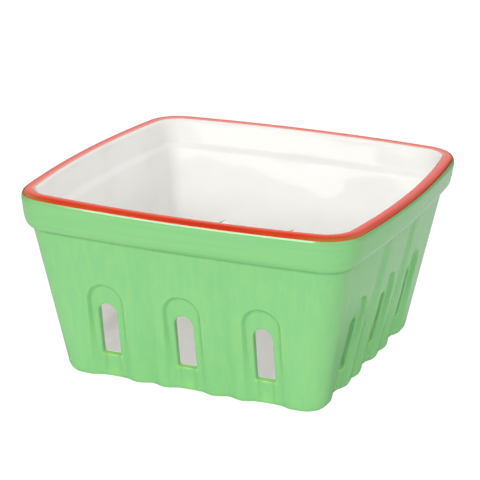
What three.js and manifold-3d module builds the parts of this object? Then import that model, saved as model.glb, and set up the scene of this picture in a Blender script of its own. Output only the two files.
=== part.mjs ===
// Glazed earthenware berry punnet: a slip-cast clay body with a green, a white and a red coat.
// All sizes are in millimetres, +Z is up and the foot stands on z = 0.
import * as THREE from 'three';
import { mergeVertices } from 'three/addons/utils/BufferGeometryUtils.js';
import Module from 'manifold-3d';

const wasm = await Module();
wasm.setup();
const { Manifold, Mesh } = wasm;

// Overall form, with the rim as the leading width
const height = 79;
const rimHalf = 75;
const collarFlare = 3.8;
const collarStep = 2.2;
const wallTaper = 13;
const footBow = 0.4;
const footRadius = 9;
const footRound = 4;
const wallTopBow = 3;
const wallTopRadius = 10;

// Collar and lip
const collarHeight = 15.4;
const collarRound = 1.9;
const collarRoundHeight = 4;
const collarBulge = 0.55;
const rimBow = 5.9;
const rimRadius = 16;
const lipRadius = 2.5;
const lipFlat = 0.5;

// Inside
const wallThickness = 5;
const floorThickness = 5;
const insideRound = 6;
const insideStepLift = 2;
const insideStepRise = 2.5;

// Underside
const footRingWidth = 8;
const footRecess = 0.8;
const footRecessRadius = 6;

// Coats
const glaze = 0.4;
const redDrop = 1.8;
const redDropInside = 0.55;
const bareFoot = 1;

// Arched recesses, slots and channels below the slots
const archMargin = 5.9;
const archHalf = 8;
const archTop = 44;
const archDepthTop = 1.3;
const archDepthFoot = 1.9;
const archDraft = 0.8;
const slotHalf = 4;
const slotBottom = 11.6;
const slotTop = 35;
const slotCorner = 1.2;
const channelHalf = 3.8;
const channelDepth = 1;
const channelDraft = 0.7;

// Flutes between the arches
const fluteHalf = 6;
const fluteDepthFoot = 1.8;
const fluteDepthTop = 1;

// Mesh steps
const sideSteps = 4;
const cornerSteps = 4;
const roundSteps = 3;
const collarRoundSteps = 3;
const collarSteps = 2;
const footSteps = 1;
const redSteps = 2;
const belowRedSteps = 1;
const insideRedSteps = 1;
const insideBelowRedSteps = 2;
const slotCornerSteps = 1;
const crownSteps = 6;
const slotCrownSteps = 5;
const channelCrownSteps = 2;
const fluteSteps = 4;
const sides = 4;
const archesPerSide = 3;

// How far cutters reach past the surface they cut, how far foot cutters stay inside the relief above
// them and go on past its edges, and the tightest corner of a level ring
const reach = 2;
const slotReach = 24;
const footOverlap = 0.03;
const footEdgeReach = 0.4;
const tightestRadius = 0.5;

const wallTopHalf = rimHalf - collarFlare - collarStep;
const footHalf = wallTopHalf - wallTaper;
const archPitch = (2 * (footHalf - archMargin)) / archesPerSide;
const collarFoot = height - collarHeight;
const wallSlope = wallTaper / collarFoot;
const lipCentreZ = height - lipRadius;
const outerLipCentre = rimHalf - lipRadius;
const innerLipCentre = outerLipCentre - lipFlat;
const redLine = height - redDrop;
const redLineInside = height - redDropInside;

// Nominal wall at a height: half width at the middle of a side, bow of the side and corner radius
function wallAt(z) {
  const share = z / collarFoot;
  return {
    half: THREE.MathUtils.lerp(footHalf, wallTopHalf, share),
    bow: Math.max(THREE.MathUtils.lerp(footBow, wallTopBow, share), footBow / 2),
    radius: THREE.MathUtils.lerp(footRadius, wallTopRadius, share),
  };
}

// Nominal collar at a height, from the step up to the lip
function collarAt(z) {
  const share = (z - collarFoot) / (lipCentreZ - collarFoot);
  return {
    half: THREE.MathUtils.lerp(wallTopHalf + collarStep, rimHalf, share),
    bow: THREE.MathUtils.lerp(wallTopBow, rimBow, Math.min(share, 1)),
    radius: THREE.MathUtils.lerp(wallTopRadius + collarStep, rimRadius, Math.min(share, 1)),
  };
}

// How far the outside of the collar swells out of its straight flare, most of all halfway up
function swellAt(z) {
  const share = (z - collarFoot) / (lipCentreZ - collarFoot);
  return 4 * collarBulge * share * (1 - share);
}

// Centre distance and radius of the arc that one bowed side follows
function sideArc(half, bow) {
  const radius = (half * half + bow * bow) / (2 * bow);
  return { radius, centre: half - radius };
}

// Level ring of a bowed square with rounded corners, moved outward by a distance
function planRing(form, outward, z) {
  const half = form.half + outward;
  const radius = Math.max(form.radius + outward, tightestRadius);
  const arc = sideArc(half, form.bow);
  const gap = arc.radius - radius;
  const corner = (arc.centre + Math.sqrt(2 * gap * gap - arc.centre * arc.centre)) / 2;
  const turn = Math.atan2(corner, corner - arc.centre);
  const ring = [];
  for (let side = 0; side < sides; side += 1) {
    const spin = (side * Math.PI) / 2;
    const bowed = new THREE.EllipseCurve(arc.centre, 0, arc.radius, arc.radius, -turn, turn);
    const round = new THREE.EllipseCurve(corner, corner, radius, radius, turn, Math.PI / 2 - turn);
    const points = [...bowed.getPoints(sideSteps), ...round.getPoints(cornerSteps).slice(1, -1)];
    for (const point of points) {
      point.rotateAround(new THREE.Vector2(0, 0), spin);
      ring.push(new THREE.Vector3(point.x, point.y, z));
    }
  }
  return ring;
}

// Closed solid through rings of equal length that turn anticlockwise seen from the last ring
function loft(rings) {
  const count = rings[0].length;
  const last = (rings.length - 1) * count;
  const index = [];
  for (let level = 0; level < rings.length - 1; level += 1) {
    for (let i = 0; i < count; i += 1) {
      const a = level * count + i;
      const b = level * count + ((i + 1) % count);
      index.push(a, b, b + count, a, b + count, a + count);
    }
  }
  for (let i = 1; i < count - 1; i += 1) {
    index.push(0, i + 1, i, last, last + i, last + i + 1);
  }
  const geometry = new THREE.BufferGeometry().setFromPoints(rings.flat());
  geometry.setIndex(index);
  const merged = mergeVertices(geometry);
  return new Manifold(new Mesh({
    numProp: 3,
    vertProperties: new Float32Array(merged.attributes.position.array),
    triVerts: new Uint32Array(merged.index.array),
  }));
}

// Angles of a quarter round, with steps before and after a chosen angle
function quarterAngles(chosen, before, after) {
  const angles = [];
  for (let step = 0; step <= before; step += 1) {
    angles.push((chosen * step) / before);
  }
  for (let step = 1; step <= after; step += 1) {
    angles.push(THREE.MathUtils.lerp(chosen, Math.PI / 2, step / after));
  }
  return angles;
}

// Heights of the foot's round, and how far it draws the wall in at each
const footAngles = quarterAngles(Math.acos(1 - bareFoot / footRound), footSteps, footSteps);
const footProfile = footAngles.map((angle) => ({
  z: footRound * (1 - Math.cos(angle)),
  inset: footRound * (1 - Math.sin(angle)),
}));

// Outside of the punnet without its reliefs, set back by a coat
function outsideForm(coat) {
  const rings = footProfile.map(({ z, inset }) => planRing(wallAt(z), -inset - coat, z));
  const ledge = collarFoot + coat;
  rings.push(planRing(wallAt(ledge), -coat, ledge));
  const inset = collarRound - coat;
  const rise = collarRoundHeight - coat;
  for (let step = 0; step <= collarRoundSteps; step += 1) {
    const angle = (step / collarRoundSteps) * (Math.PI / 2);
    const z = ledge + rise * (1 - Math.cos(angle));
    rings.push(planRing(collarAt(z), swellAt(z) - coat - inset * (1 - Math.sin(angle)), z));
  }
  for (let step = 1; step < collarSteps; step += 1) {
    const z = THREE.MathUtils.lerp(ledge + rise, lipCentreZ, step / collarSteps);
    rings.push(planRing(collarAt(z), swellAt(z) - coat, z));
  }
  const lip = lipRadius - coat;
  const redAngle = Math.asin((redLine - lipCentreZ) / lip);
  for (const angle of quarterAngles(redAngle, belowRedSteps, redSteps)) {
    const z = lipCentreZ + lip * Math.sin(angle);
    const outward = outerLipCentre + lip * Math.cos(angle) - rimHalf;
    rings.push(planRing(collarAt(lipCentreZ), outward, z));
  }
  return loft(rings);
}

// Space inside the punnet, let out by a coat and open at the top
function insideForm(coat) {
  const rings = [];
  const round = insideRound + coat;
  for (let step = 0; step <= roundSteps; step += 1) {
    const angle = (step / roundSteps) * (Math.PI / 2);
    const z = floorThickness - coat + round * (1 - Math.cos(angle));
    rings.push(planRing(wallAt(z), coat - wallThickness - round * (1 - Math.sin(angle)), z));
  }
  const stepFoot = collarFoot + insideStepLift;
  const stepTop = stepFoot + insideStepRise;
  rings.push(planRing(wallAt(stepFoot), coat - wallThickness, stepFoot));
  rings.push(planRing(collarAt(stepTop), coat - wallThickness, stepTop));
  const lip = lipRadius - coat;
  const redAngle = Math.asin((redLineInside - lipCentreZ) / lip);
  for (const angle of quarterAngles(redAngle, insideBelowRedSteps, insideRedSteps)) {
    const z = lipCentreZ + lip * Math.sin(angle);
    const outward = innerLipCentre - lip * Math.cos(angle) - rimHalf;
    rings.push(planRing(collarAt(lipCentreZ), outward, z));
  }
  rings.push(planRing(collarAt(lipCentreZ), innerLipCentre - rimHalf, height + reach));
  return loft(rings);
}

// Distance of the outside wall from the middle plane, at a place along a side and a height
function sideDistance(along, z) {
  const form = wallAt(z);
  const arc = sideArc(form.half, form.bow);
  return arc.centre + Math.sqrt(arc.radius * arc.radius - along * along);
}

// Points of an upright outline with a round top, as places along the side and heights
function archOutline(half, bottom, top, corner, crown) {
  const points = [];
  if (corner > 0) {
    const low = bottom + corner;
    const left = new THREE.EllipseCurve(corner - half, low, corner, corner, Math.PI, 1.5 * Math.PI);
    const right = new THREE.EllipseCurve(half - corner, low, corner, corner, 1.5 * Math.PI, 2 * Math.PI);
    points.push(...left.getPoints(slotCornerSteps), ...right.getPoints(slotCornerSteps));
  } else {
    points.push(new THREE.Vector2(-half, bottom), new THREE.Vector2(half, bottom));
  }
  const round = new THREE.EllipseCurve(0, top - half, half, half, 0, Math.PI);
  points.push(...round.getPoints(crown));
  return points;
}

// Places an outline on the front wall, at a depth that may change with height
function onWall(outline, centre, depthAt) {
  return outline.map((point) => {
    const away = sideDistance(centre, point.y) - depthAt(point.y);
    return new THREE.Vector3(centre + point.x, -away, point.y);
  });
}

function archDepth(z) {
  return THREE.MathUtils.lerp(archDepthFoot, archDepthTop, z / archTop);
}

// Cutter for one arched recess, let out by a coat
function archCutter(centre, coat) {
  const flare = (archDraft * reach) / archDepthTop;
  const deep = archOutline(archHalf - archDraft + coat, -reach, archTop - archDraft + coat, 0, crownSteps);
  const wide = archOutline(archHalf + flare + coat, -reach, archTop + flare + coat, 0, crownSteps);
  return loft([
    onWall(deep, centre, (z) => archDepth(z) + coat),
    onWall(wide, centre, () => -reach),
  ]);
}

// Cutter for the channel that runs from a slot down to the foot
function channelCutter(centre, coat) {
  const top = slotBottom + slotHalf;
  const half = channelHalf + coat;
  const deep = archOutline(half - channelDraft, -reach, top - channelDraft, 0, channelCrownSteps);
  const wide = archOutline(half, -reach, top, 0, channelCrownSteps);
  return loft([
    onWall(deep, centre, (z) => archDepth(z) + channelDepth + coat),
    onWall(wide, centre, (z) => archDepth(z) + coat),
    onWall(wide, centre, () => 0),
  ]);
}

// Cutter for one slot, which rises inward so that it goes through the sloping wall squarely
function slotCutter(centre, coat) {
  const half = slotHalf + coat;
  const outline = archOutline(half, slotBottom - coat, slotTop + coat, slotCorner + coat, slotCrownSteps);
  const rings = [footHalf - slotReach, footHalf + slotReach].map((away) => outline.map((point) => {
    const face = sideDistance(centre, point.y) - archDepth(point.y);
    return new THREE.Vector3(centre + point.x, -away, point.y + (face - away) * wallSlope);
  }));
  return loft(rings);
}

function fluteDepth(z) {
  return THREE.MathUtils.lerp(fluteDepthFoot, fluteDepthTop, z / collarFoot);
}

// Cutter for one hollow flute from the foot up to the collar
function fluteCutter(centre, coat) {
  const half = fluteHalf + coat;
  const top = collarFoot + coat;
  const rings = [-reach, top].map((z) => {
    const depth = fluteDepth(z) + coat;
    const away = sideDistance(centre, z);
    const ring = [
      new THREE.Vector3(centre - half, -away - reach, z),
      new THREE.Vector3(centre + half, -away - reach, z),
    ];
    for (let step = 0; step <= fluteSteps; step += 1) {
      const place = 1 - (2 * step) / fluteSteps;
      const hollow = (depth * (1 + Math.cos(place * Math.PI))) / 2;
      ring.push(new THREE.Vector3(centre + half * place, hollow - away, z));
    }
    return ring;
  });
  return loft(rings);
}

// Cutter that carries a relief round the foot, along stations that give a place and a depth
function footCutter(centre, coat, stations) {
  const outer = -sideDistance(centre, footRound) - reach;
  const rings = stations.map(({ place, depth }) => {
    const x = centre + place;
    const round = footProfile.map(({ z, inset }) => {
      const overlap = (footOverlap * z) / footRound;
      return new THREE.Vector3(x, inset + depth + coat - overlap - sideDistance(centre, z), z);
    });
    return [
      new THREE.Vector3(x, outer, -reach),
      new THREE.Vector3(x, round[0].y, -reach),
      ...round,
      new THREE.Vector3(x, outer, footRound + reach + depth),
    ];
  });
  return loft(rings);
}

// Cutter for an arched recess at the foot, with the slope of its edges
function archFootCutter(centre, coat) {
  const depth = archDepth(footRound);
  const deep = archHalf - archDraft + coat;
  const edge = archDraft + footEdgeReach;
  const beyond = depth * (1 - edge / archDraft);
  return footCutter(centre, coat, [
    { place: -deep - edge, depth: beyond },
    { place: -deep, depth },
    { place: deep, depth },
    { place: deep + edge, depth: beyond },
  ]);
}

// Cutter for a flute at the foot, with a hollow of straight strips
function fluteFootCutter(centre, coat) {
  const depth = fluteDepth(footRound);
  const half = fluteHalf + coat;
  const edge = half + footEdgeReach;
  const beyond = -(depth * footEdgeReach) / half;
  return footCutter(centre, coat, [
    { place: -edge, depth: beyond },
    { place: -half / 2, depth: depth / 2 },
    { place: 0, depth },
    { place: half / 2, depth: depth / 2 },
    { place: edge, depth: beyond },
  ]);
}

// Repeats a cutter made for the front wall on all four walls
function onAllSides(cutters) {
  const front = Manifold.union(cutters);
  const turned = [];
  for (let side = 0; side < sides; side += 1) {
    turned.push(front.rotate([0, 0, (360 / sides) * side]));
  }
  return Manifold.union(turned);
}

const archCentres = [];
const fluteCentres = [];
for (let arch = 0; arch < archesPerSide; arch += 1) {
  const centre = (arch - (archesPerSide - 1) / 2) * archPitch;
  archCentres.push(centre);
  if (arch > 0) {
    fluteCentres.push(centre - archPitch / 2);
  }
}

// Outside with its recesses and flutes, and the slots
function outsideWithReliefs(coat) {
  const cutters = [
    ...archCentres.map((centre) => archCutter(centre, coat)),
    ...archCentres.map((centre) => channelCutter(centre, coat)),
    ...fluteCentres.map((centre) => fluteCutter(centre, coat)),
    ...archCentres.map((centre) => archFootCutter(centre, coat)),
    ...fluteCentres.map((centre) => fluteFootCutter(centre, coat)),
  ];
  return outsideForm(coat).subtract(onAllSides(cutters));
}

function slots(coat) {
  return onAllSides(archCentres.map((centre) => slotCutter(centre, coat)));
}

const glazedOutside = outsideWithReliefs(0);
const clayOutside = outsideWithReliefs(glaze);
const glazedInside = insideForm(0);
const clayInside = insideForm(glaze);
const glazedSlots = slots(0);
const claySlots = slots(glaze);

// Shallow recess of the bare underside, which leaves a foot ring
const recessForm = {
  half: footHalf - footRound - glaze - footRingWidth,
  bow: footBow,
  radius: footRecessRadius,
};
const underside = loft([
  planRing(recessForm, footRecess, -reach),
  planRing(recessForm, -footRecess, footRecess),
]);

const up = [0, 0, 1];
const down = [0, 0, -1];
const clayBody = clayOutside.subtract(clayInside).subtract(claySlots).subtract(underside);
const slotLinings = claySlots.subtract(clayInside);
const greenGlaze = glazedOutside
  .subtract(clayOutside.subtract(slotLinings))
  .subtract(glazedSlots)
  .trimByPlane(down, -redLine)
  .trimByPlane(up, bareFoot);
const whiteGlaze = clayInside
  .subtract(glazedInside)
  .subtract(glazedSlots)
  .trimByPlane(down, -redLineInside);
const insideOfLip = loft([redLine - reach, redLineInside].map((z) => (
  planRing(collarAt(lipCentreZ), innerLipCentre - rimHalf, z)
)));
const redBand = glazedOutside
  .subtract(glazedInside)
  .subtract(clayOutside.subtract(clayInside))
  .trimByPlane(up, redLine)
  .subtract(insideOfLip);

function node(name, solid, colour, roughness) {
  const mesh = solid.getMesh();
  const geometry = new THREE.BufferGeometry();
  geometry.setAttribute('position', new THREE.BufferAttribute(new Float32Array(mesh.vertProperties), 3));
  geometry.setIndex(new THREE.BufferAttribute(new Uint32Array(mesh.triVerts), 1));
  geometry.computeVertexNormals();
  const material = new THREE.MeshStandardMaterial({ color: colour, roughness, metalness: 0 });
  material.name = name;
  const result = new THREE.Mesh(geometry, material);
  result.name = name;
  return result;
}

const punnet = new THREE.Group();
punnet.name = 'punnet';
punnet.add(node('clay_body', clayBody, 0xe6d8c3, 0.85));
punnet.add(node('green_outside_glaze', greenGlaze, 0x86d488, 0.2));
punnet.add(node('white_inside_glaze', whiteGlaze, 0xf3f1ea, 0.15));
punnet.add(node('red_rim_band', redBand, 0xd2321a, 0.2));

export default punnet;
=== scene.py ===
# %% [markdown]
# # A glazed berry punnet, dressed step by step
# The object is a square ceramic basket for berries: one slip-cast clay body under three glazes, green
# outside, white inside and a red line along the lip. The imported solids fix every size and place. This lesson
# makes finer surfaces for the same four parts, gives them their fired finishes and sets them in a plain white
# studio.

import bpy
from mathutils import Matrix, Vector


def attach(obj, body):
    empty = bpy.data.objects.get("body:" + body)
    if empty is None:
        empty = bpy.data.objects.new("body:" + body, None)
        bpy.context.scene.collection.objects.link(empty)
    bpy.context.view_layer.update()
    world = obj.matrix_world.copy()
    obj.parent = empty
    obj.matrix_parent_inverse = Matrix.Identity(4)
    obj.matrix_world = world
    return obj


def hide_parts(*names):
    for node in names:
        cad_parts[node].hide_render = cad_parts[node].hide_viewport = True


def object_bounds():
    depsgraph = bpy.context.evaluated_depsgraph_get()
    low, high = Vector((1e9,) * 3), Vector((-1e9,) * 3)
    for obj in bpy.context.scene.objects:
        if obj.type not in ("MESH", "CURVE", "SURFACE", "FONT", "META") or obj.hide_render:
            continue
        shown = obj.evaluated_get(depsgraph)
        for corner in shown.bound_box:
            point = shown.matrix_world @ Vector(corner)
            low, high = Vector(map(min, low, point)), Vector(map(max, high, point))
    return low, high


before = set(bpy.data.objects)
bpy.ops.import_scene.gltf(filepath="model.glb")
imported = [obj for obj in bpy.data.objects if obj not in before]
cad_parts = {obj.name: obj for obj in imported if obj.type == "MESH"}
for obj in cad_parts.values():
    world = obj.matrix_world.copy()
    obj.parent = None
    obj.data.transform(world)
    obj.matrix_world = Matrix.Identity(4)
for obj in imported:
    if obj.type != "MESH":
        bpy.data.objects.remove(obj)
cad_box = [list(corner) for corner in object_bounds()]

import math

import bmesh
import bpy
import numpy as np
from mathutils import Matrix, Vector

MM = 0.001
print("solids:", sorted(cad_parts))
print("box in mm:", [[round(value / MM, 2) for value in corner] for corner in cad_box])

# %% [markdown]
# ## The plan
# Seen from above, every level of the punnet is the same kind of outline: four sides that bow out a little
# and four round corners that run smoothly into them. A cube with bevels would give the corners, but not the
# bow or the way both grow from foot to rim. So the outline is written as arcs, and each level only needs
# three numbers: half the width, the bow of a side and the radius of a corner.

# %% Levels of the wall and the collar
HEIGHT = round(cad_box[1][2] / MM, 2)
RIM_HALF = round(cad_box[1][0] / MM, 2)
COLLAR_FLARE = 3.8
COLLAR_STEP = 2.2
WALL_TAPER = 13.0
COLLAR_HEIGHT = 15.4
FOOT_BOW, WALL_TOP_BOW, RIM_BOW = 0.4, 3.0, 5.9
FOOT_RADIUS, WALL_TOP_RADIUS, RIM_RADIUS = 9.0, 10.0, 16.0
LIP_RADIUS = 2.5
TIGHTEST_RADIUS = 0.5
WALL_TOP_HALF = RIM_HALF - COLLAR_FLARE - COLLAR_STEP
FOOT_HALF = WALL_TOP_HALF - WALL_TAPER
COLLAR_FOOT = HEIGHT - COLLAR_HEIGHT
LIP_CENTRE = HEIGHT - LIP_RADIUS


def between(low, high, share):
    """The value a share of the way from low to high."""
    return low + (high - low) * share


def soft_step(low, high, value):
    """Rises from 0 at low to 1 at high, level at both ends: 3t2 - 2t3 of the share t between them."""
    share = np.clip((value - low) / (high - low), 0, 1)
    return share * share * (3 - 2 * share)


def wall_form(z):
    """Half width, bow and corner radius of the wall at height z, each straight from foot to collar."""
    share = z / COLLAR_FOOT
    return np.stack([
        between(FOOT_HALF, WALL_TOP_HALF, share),
        between(FOOT_BOW, WALL_TOP_BOW, share),
        between(FOOT_RADIUS, WALL_TOP_RADIUS, share),
    ])


def collar_form(z):
    """Half width, bow and corner radius of the collar at height z, each straight from step to lip."""
    share = (z - COLLAR_FOOT) / (LIP_CENTRE - COLLAR_FOOT)
    return np.stack([
        between(WALL_TOP_HALF + COLLAR_STEP, RIM_HALF, share),
        between(WALL_TOP_BOW, RIM_BOW, share),
        between(WALL_TOP_RADIUS + COLLAR_STEP, RIM_RADIUS, share),
    ])


def let_out(form, outward):
    """The same outline moved outward: the half width and the corner radius grow, the bow stays."""
    half, bow, radius = form
    return np.stack(np.broadcast_arrays(
        half + outward, bow + 0 * outward, np.maximum(radius + outward, TIGHTEST_RADIUS)
    ))


print("half widths in mm: foot", FOOT_HALF, "under the collar", WALL_TOP_HALF, "lip", RIM_HALF)

# %% Points of an outline
CORNER_SHARES = np.linspace(0, 1, 15)


def outline_numbers(form):
    """Radius and centre of the side arc, centre of the corner arc, and the angle at which they meet.

    The side arc passes through the middle of the side and bows by the given amount over the half width.
    The corner arc touches it from inside, so both share a tangent where they meet.
    """
    half, bow, radius = form
    side_radius = (half**2 + bow**2) / (2 * bow)
    side_centre = half - side_radius
    gap = side_radius - radius
    corner = (side_centre + np.sqrt(2 * gap**2 - side_centre**2)) / 2
    turn = np.arctan2(corner, corner - side_centre)
    return side_radius, side_centre, corner, turn


def side_end(form):
    """Distance from the middle of a side to where its corner begins."""
    side_radius, side_centre, corner, turn = outline_numbers(form)
    return side_radius * np.sin(turn)


def side_away(form, along):
    """Distance of a side from the middle plane at a place along it: a circle with the side arc's radius."""
    side_radius, side_centre, corner, turn = outline_numbers(form)
    return side_centre + np.sqrt(side_radius**2 - along**2)


def corner_line(form):
    """x and y of the corner right of the front side, at the fixed shares of its turn."""
    side_radius, side_centre, corner, turn = [part[..., None] for part in outline_numbers(form)]
    angle = turn + CORNER_SHARES * (np.pi / 2 - 2 * turn)
    radius = form[2][..., None]
    return corner + radius * np.sin(angle), -corner - radius * np.cos(angle)


def quarter_line(form, side_shares):
    """x and y of the front side at shares of its half length, followed by the corner on its right."""
    along = side_shares * side_end(form)[..., None]
    away = side_away(form[..., None], along)
    corner_x, corner_y = corner_line(form)
    return (
        np.concatenate([along, corner_x[..., 1:]], axis=-1),
        np.concatenate([-away, corner_y[..., 1:]], axis=-1),
    )


print("corner begins", round(float(side_end(wall_form(0.0))), 1), "mm from the middle at the foot")

# %% [markdown]
# ## Grids, quarters and meshes
# Every surface below is a grid of points. The punnet looks the same after a quarter turn, so each grid is
# made for the front and the corner on its right, and then turned three times. Points that fall on each other
# along the seams are merged, and a pole, where a whole row falls on one point, closes into triangles.

# %% Grids and their quarter turns
QUARTER_TURNS = [(1, 0), (0, 1), (-1, 0), (0, -1)]


def grid(x, y, z, **notes):
    """Points of one grid, rows by columns, with the numbers that are noted at each point."""
    shape = np.broadcast_shapes(np.shape(x), np.shape(y), np.shape(z))
    points = np.stack([np.broadcast_to(part, shape) for part in (x, y, z)], axis=-1)
    return points, {name: np.broadcast_to(value, shape) for name, value in notes.items()}


def count_points(grids):
    """How many points the grids have together: rows times columns, added up."""
    return sum(points.shape[0] * points.shape[1] for points, notes in grids)


def quads_of(rows, columns):
    """Four corner numbers for each cell of a grid, in the order along a row and then to the next row."""
    number = np.arange(rows * columns).reshape(rows, columns)
    corners = [number[:-1, :-1], number[:-1, 1:], number[1:, 1:], number[1:, :-1]]
    return np.stack(corners, axis=-1).reshape(-1, 4)


def all_round(points):
    """A grid turned to the four sides: x and y become x cos - y sin and x sin + y cos."""
    x, y, z = points[..., 0], points[..., 1], points[..., 2]
    return [np.stack([x * c - y * s, x * s + y * c, z], axis=-1) for c, s in QUARTER_TURNS]


print("a grid of 3 by 4 points has", len(quads_of(3, 4)), "quads")

# %% One mesh from many grids
MERGE_DISTANCE = 2e-6
SHARP_ANGLE = math.radians(50)


def make_piece(name, grids, node):
    """One mesh object from all grids on all four sides, in metres, riding on the root body."""
    points, quads, notes, count = [], [], {}, 0
    for front, front_notes in grids:
        rows, columns = front.shape[:2]
        for turned in all_round(front):
            points.append(turned.reshape(-1, 3))
            quads.append(quads_of(rows, columns) + count)
            count += rows * columns
        for note, value in front_notes.items():
            notes.setdefault(note, []).append(np.tile(value.ravel(), len(QUARTER_TURNS)))
    mesh = bpy.data.meshes.new(name)
    mesh.from_pydata((np.concatenate(points) * MM).tolist(), [], np.concatenate(quads).tolist())
    for note, values in notes.items():
        layer = mesh.attributes.new(note, "FLOAT", "POINT")
        layer.data.foreach_set("value", np.concatenate(values).astype(np.float32))
    working = bmesh.new()
    working.from_mesh(mesh)
    bmesh.ops.remove_doubles(working, verts=working.verts, dist=MERGE_DISTANCE)
    working.to_mesh(mesh)
    working.free()
    mesh.shade_smooth()
    mesh.set_sharp_from_angle(angle=SHARP_ANGLE)
    piece = bpy.data.objects.new(name, mesh)
    bpy.context.scene.collection.objects.link(piece)
    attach(piece, "root")
    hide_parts(node)
    print(name, "has", len(mesh.vertices), "points and", len(mesh.polygons), "faces")
    return piece


print("edges that bend more than", round(math.degrees(SHARP_ANGLE)), "degrees stay crisp")

# %% A coat from a surface
GLAZE = 0.4
COAT_SHARE = 0.9


def keep_rim_crisp(mesh):
    """Marks the open edges sharp: those that only one face uses, counted over all face corners."""
    edges = np.empty(len(mesh.loops), dtype=np.int32)
    mesh.loops.foreach_get("edge_index", edges)
    sharp = np.empty(len(mesh.edges), dtype=bool)
    mesh.edges.foreach_get("use_edge_sharp", sharp)
    open_edge = np.bincount(edges, minlength=len(mesh.edges)) == 1
    mesh.edges.foreach_set("use_edge_sharp", sharp | open_edge)
    return int(open_edge.sum())


def give_coat(piece):
    """Turns a glaze surface into a closed coat that is a little thinner than its gap to the clay."""
    rim = keep_rim_crisp(piece.data)
    coat = piece.modifiers.new("coat", "SOLIDIFY")
    coat.thickness = GLAZE * COAT_SHARE * MM
    coat.offset = -1
    print(piece.name, "has", rim, "rim edges")


print("a coat fills", COAT_SHARE, "of a gap of", GLAZE, "mm")

# %% [markdown]
# ## Reliefs of the outside wall
# Each side has three arched recesses that run down to the foot, a slot through the wall in each recess, a
# shallow channel from the slot to the foot, and two flutes between the recesses. Cutting them with booleans
# would leave hard, ragged edges. Glaze rounds every edge, so here each relief is a depth that changes
# smoothly with the place on the wall, and all depths are added up.

# %% Arched recesses
ARCHES_PER_SIDE = 3
ARCH_MARGIN = 5.9
ARCH_PITCH = 2 * (FOOT_HALF - ARCH_MARGIN) / ARCHES_PER_SIDE
ARCH_CENTRES = [-ARCH_PITCH, 0.0, ARCH_PITCH]
ARCH_HALF, ARCH_TOP = 8.0, 44.0
ARCH_DEPTH_FOOT, ARCH_DEPTH_TOP = 1.9, 1.3
ARCH_EDGE_OUT, ARCH_EDGE_IN = 0.35, 0.95
FOOT_EDGE_OUT, FOOT_EDGE_IN, SOFT_BELOW = 2.4, 3.4, 30.0
ARCH_CROWN = ARCH_TOP - ARCH_HALF


def off_arch(x):
    """Distance along a side from the middle line of the nearest arch."""
    return x - ARCH_PITCH * np.clip(np.round(x / ARCH_PITCH), -1, 1)


def arch_depth(u, z, coat):
    """Depth of an arched recess at u from its middle line: full inside, with edges that soften downward."""
    beyond = np.where(z > ARCH_CROWN, np.hypot(u, z - ARCH_CROWN), np.abs(u))
    soft = soft_step(SOFT_BELOW, 0, z)
    edge_out = between(ARCH_EDGE_OUT, FOOT_EDGE_OUT, soft)
    edge_in = between(ARCH_EDGE_IN, FOOT_EDGE_IN, soft)
    depth = between(ARCH_DEPTH_FOOT, ARCH_DEPTH_TOP, z / ARCH_TOP)
    return depth * soft_step(-edge_out, edge_in, ARCH_HALF + coat - beyond)


print("arches at", [round(centre, 1) for centre in ARCH_CENTRES], "mm along each side")

# %% Slots and their channels
SLOT_HALF, SLOT_BOTTOM, SLOT_TOP, SLOT_CORNER = 4.0, 11.6, 35.0, 1.2
SLOT_CROWN = SLOT_TOP - SLOT_HALF
SLOT_SIDE = SLOT_BOTTOM + SLOT_CORNER
CHANNEL_DEPTH, CHANNEL_EDGE = 0.9, 1.5
CHANNEL_FOOT, CHANNEL_FULL = -2.0, 8.0


def slot_gap(u, z, coat):
    """Distance outside the outline of a slot: round at the top, with small round corners below."""
    half, bottom, corner = SLOT_HALF + coat, SLOT_BOTTOM - coat, SLOT_CORNER + coat
    wide = np.abs(u) - (half - corner)
    low = bottom + corner - z
    outside = np.hypot(np.maximum(wide, 0), np.maximum(low, 0))
    box = outside + np.minimum(np.maximum(wide, low), 0) - corner
    return np.where(z > SLOT_CROWN, np.hypot(u, z - SLOT_CROWN) - half, box)


def edge_drop(gap, radius):
    """Drop of a rounded edge at a gap from it: a quarter circle, full at the edge and nothing beyond."""
    near = radius - np.clip(gap, 0, radius)
    return radius - np.sqrt(np.maximum(radius**2 - near**2, 0))


def channel_depth(u, z):
    """Depth of the channel under a slot: a round hollow as wide as the slot that fades towards the foot."""
    below = soft_step(SLOT_SIDE + SLOT_CORNER, SLOT_SIDE, z)
    fading = soft_step(CHANNEL_FOOT, CHANNEL_FULL, z)
    return CHANNEL_DEPTH * soft_step(0, CHANNEL_EDGE, SLOT_HALF - np.abs(u)) * below * fading


print("a slot is", 2 * SLOT_HALF, "mm wide and", round(SLOT_TOP - SLOT_BOTTOM, 1), "mm high")

# %% Flutes, the rounded foot and the whole front
FLUTE_CENTRES = [-ARCH_PITCH / 2, ARCH_PITCH / 2]
FLUTE_HALF, FLUTE_DEPTH_FOOT, FLUTE_DEPTH_TOP = 6.0, 1.8, 1.0
FLUTE_FADE, FLUTE_LEFT = 4.0, 0.8
FOOT_ROUND = 4.0
SLOT_EDGE = 0.7


def flute_depth(x, z):
    """Depth of both flutes: half a cosine wave across, growing to the foot and shallower under the collar."""
    place = np.min([np.abs(x - centre) for centre in FLUTE_CENTRES], axis=0) / FLUTE_HALF
    wave = (1 + np.cos(np.pi * np.minimum(place, 1))) / 2
    fading = between(1, FLUTE_LEFT, soft_step(COLLAR_FOOT - FLUTE_FADE, COLLAR_FOOT, z))
    return between(FLUTE_DEPTH_FOOT, FLUTE_DEPTH_TOP, z / COLLAR_FOOT) * wave * fading


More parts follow.
